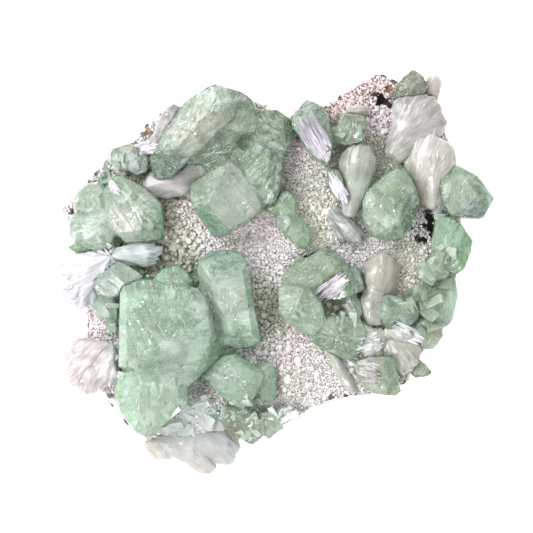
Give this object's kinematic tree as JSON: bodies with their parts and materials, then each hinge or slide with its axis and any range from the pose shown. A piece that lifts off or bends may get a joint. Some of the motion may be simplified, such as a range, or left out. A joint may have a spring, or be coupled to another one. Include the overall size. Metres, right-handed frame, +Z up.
{
  "type": "apophyllite on heulandite mineral specimen",
  "caption": "Plate of dark basalt with a sugary heulandite crust, blocky mint-green apophyllite crystals and pearly white stilbite sheaves, lying flat on its back.",
  "frame": {"origin": "middle of the footprint, on the flat trimmed back that the plate rests on", "axes": "+Z up, out of the crystal side; +X along the longest extent; +Y across the plate"},
  "size_m": [0.1268, 0.1168, 0.0336],
  "materials": {
    "basalt": "rough dark brown-black broken rock with reddish-brown patches",
    "heulandite": "sugary druse of small white, pinkish and grey-green blocky crystals, glassy",
    "apophyllite": "translucent mint green crystal with milky veils, glassy to pearly faces",
    "stilbite": "pearly white to cream radiating sheaves, silky lustre"
  },
  "bodies": {
    "root": {"apophyllite_centre_group": "apophyllite", "apophyllite_east_block": "apophyllite", "apophyllite_east_edge_group": "apophyllite", "apophyllite_east_wedge": "apophyllite", "apophyllite_far_east_block": "apophyllite", "apophyllite_great_blocks": "apophyllite", "apophyllite_middle_stair": "apophyllite", "apophyllite_north_east_tip": "apophyllite", "apophyllite_north_group": "apophyllite", "apophyllite_north_prisms": "apophyllite", "apophyllite_north_west_bud": "apophyllite", "apophyllite_short_prism": "apophyllite", "apophyllite_south_block": "apophyllite", "apophyllite_south_east_block": "apophyllite", "apophyllite_south_east_tip": "apophyllite", "apophyllite_south_tips": "apophyllite", "apophyllite_west_group": "apophyllite", "apophyllite_west_teal": "apophyllite", "basalt_matrix": "basalt", "heulandite_crust": "heulandite", "stilbite_cream_blade": "stilbite", "stilbite_grey_band": "stilbite", "stilbite_grey_blades": "stilbite", "stilbite_middle_column": "stilbite", "stilbite_north_east_lower_fan": "stilbite", "stilbite_north_east_point": "stilbite", "stilbite_north_east_upper_fan": "stilbite", "stilbite_north_west_wedge": "stilbite", "stilbite_pale_column": "stilbite", "stilbite_small_beige_tip": "stilbite", "stilbite_south_east_rosette": "stilbite", "stilbite_south_fan": "stilbite", "stilbite_south_west_fan": "stilbite", "stilbite_sparkling_tuft": "stilbite", "stilbite_west_bow": "stilbite"}
  },
  "joints": []
}
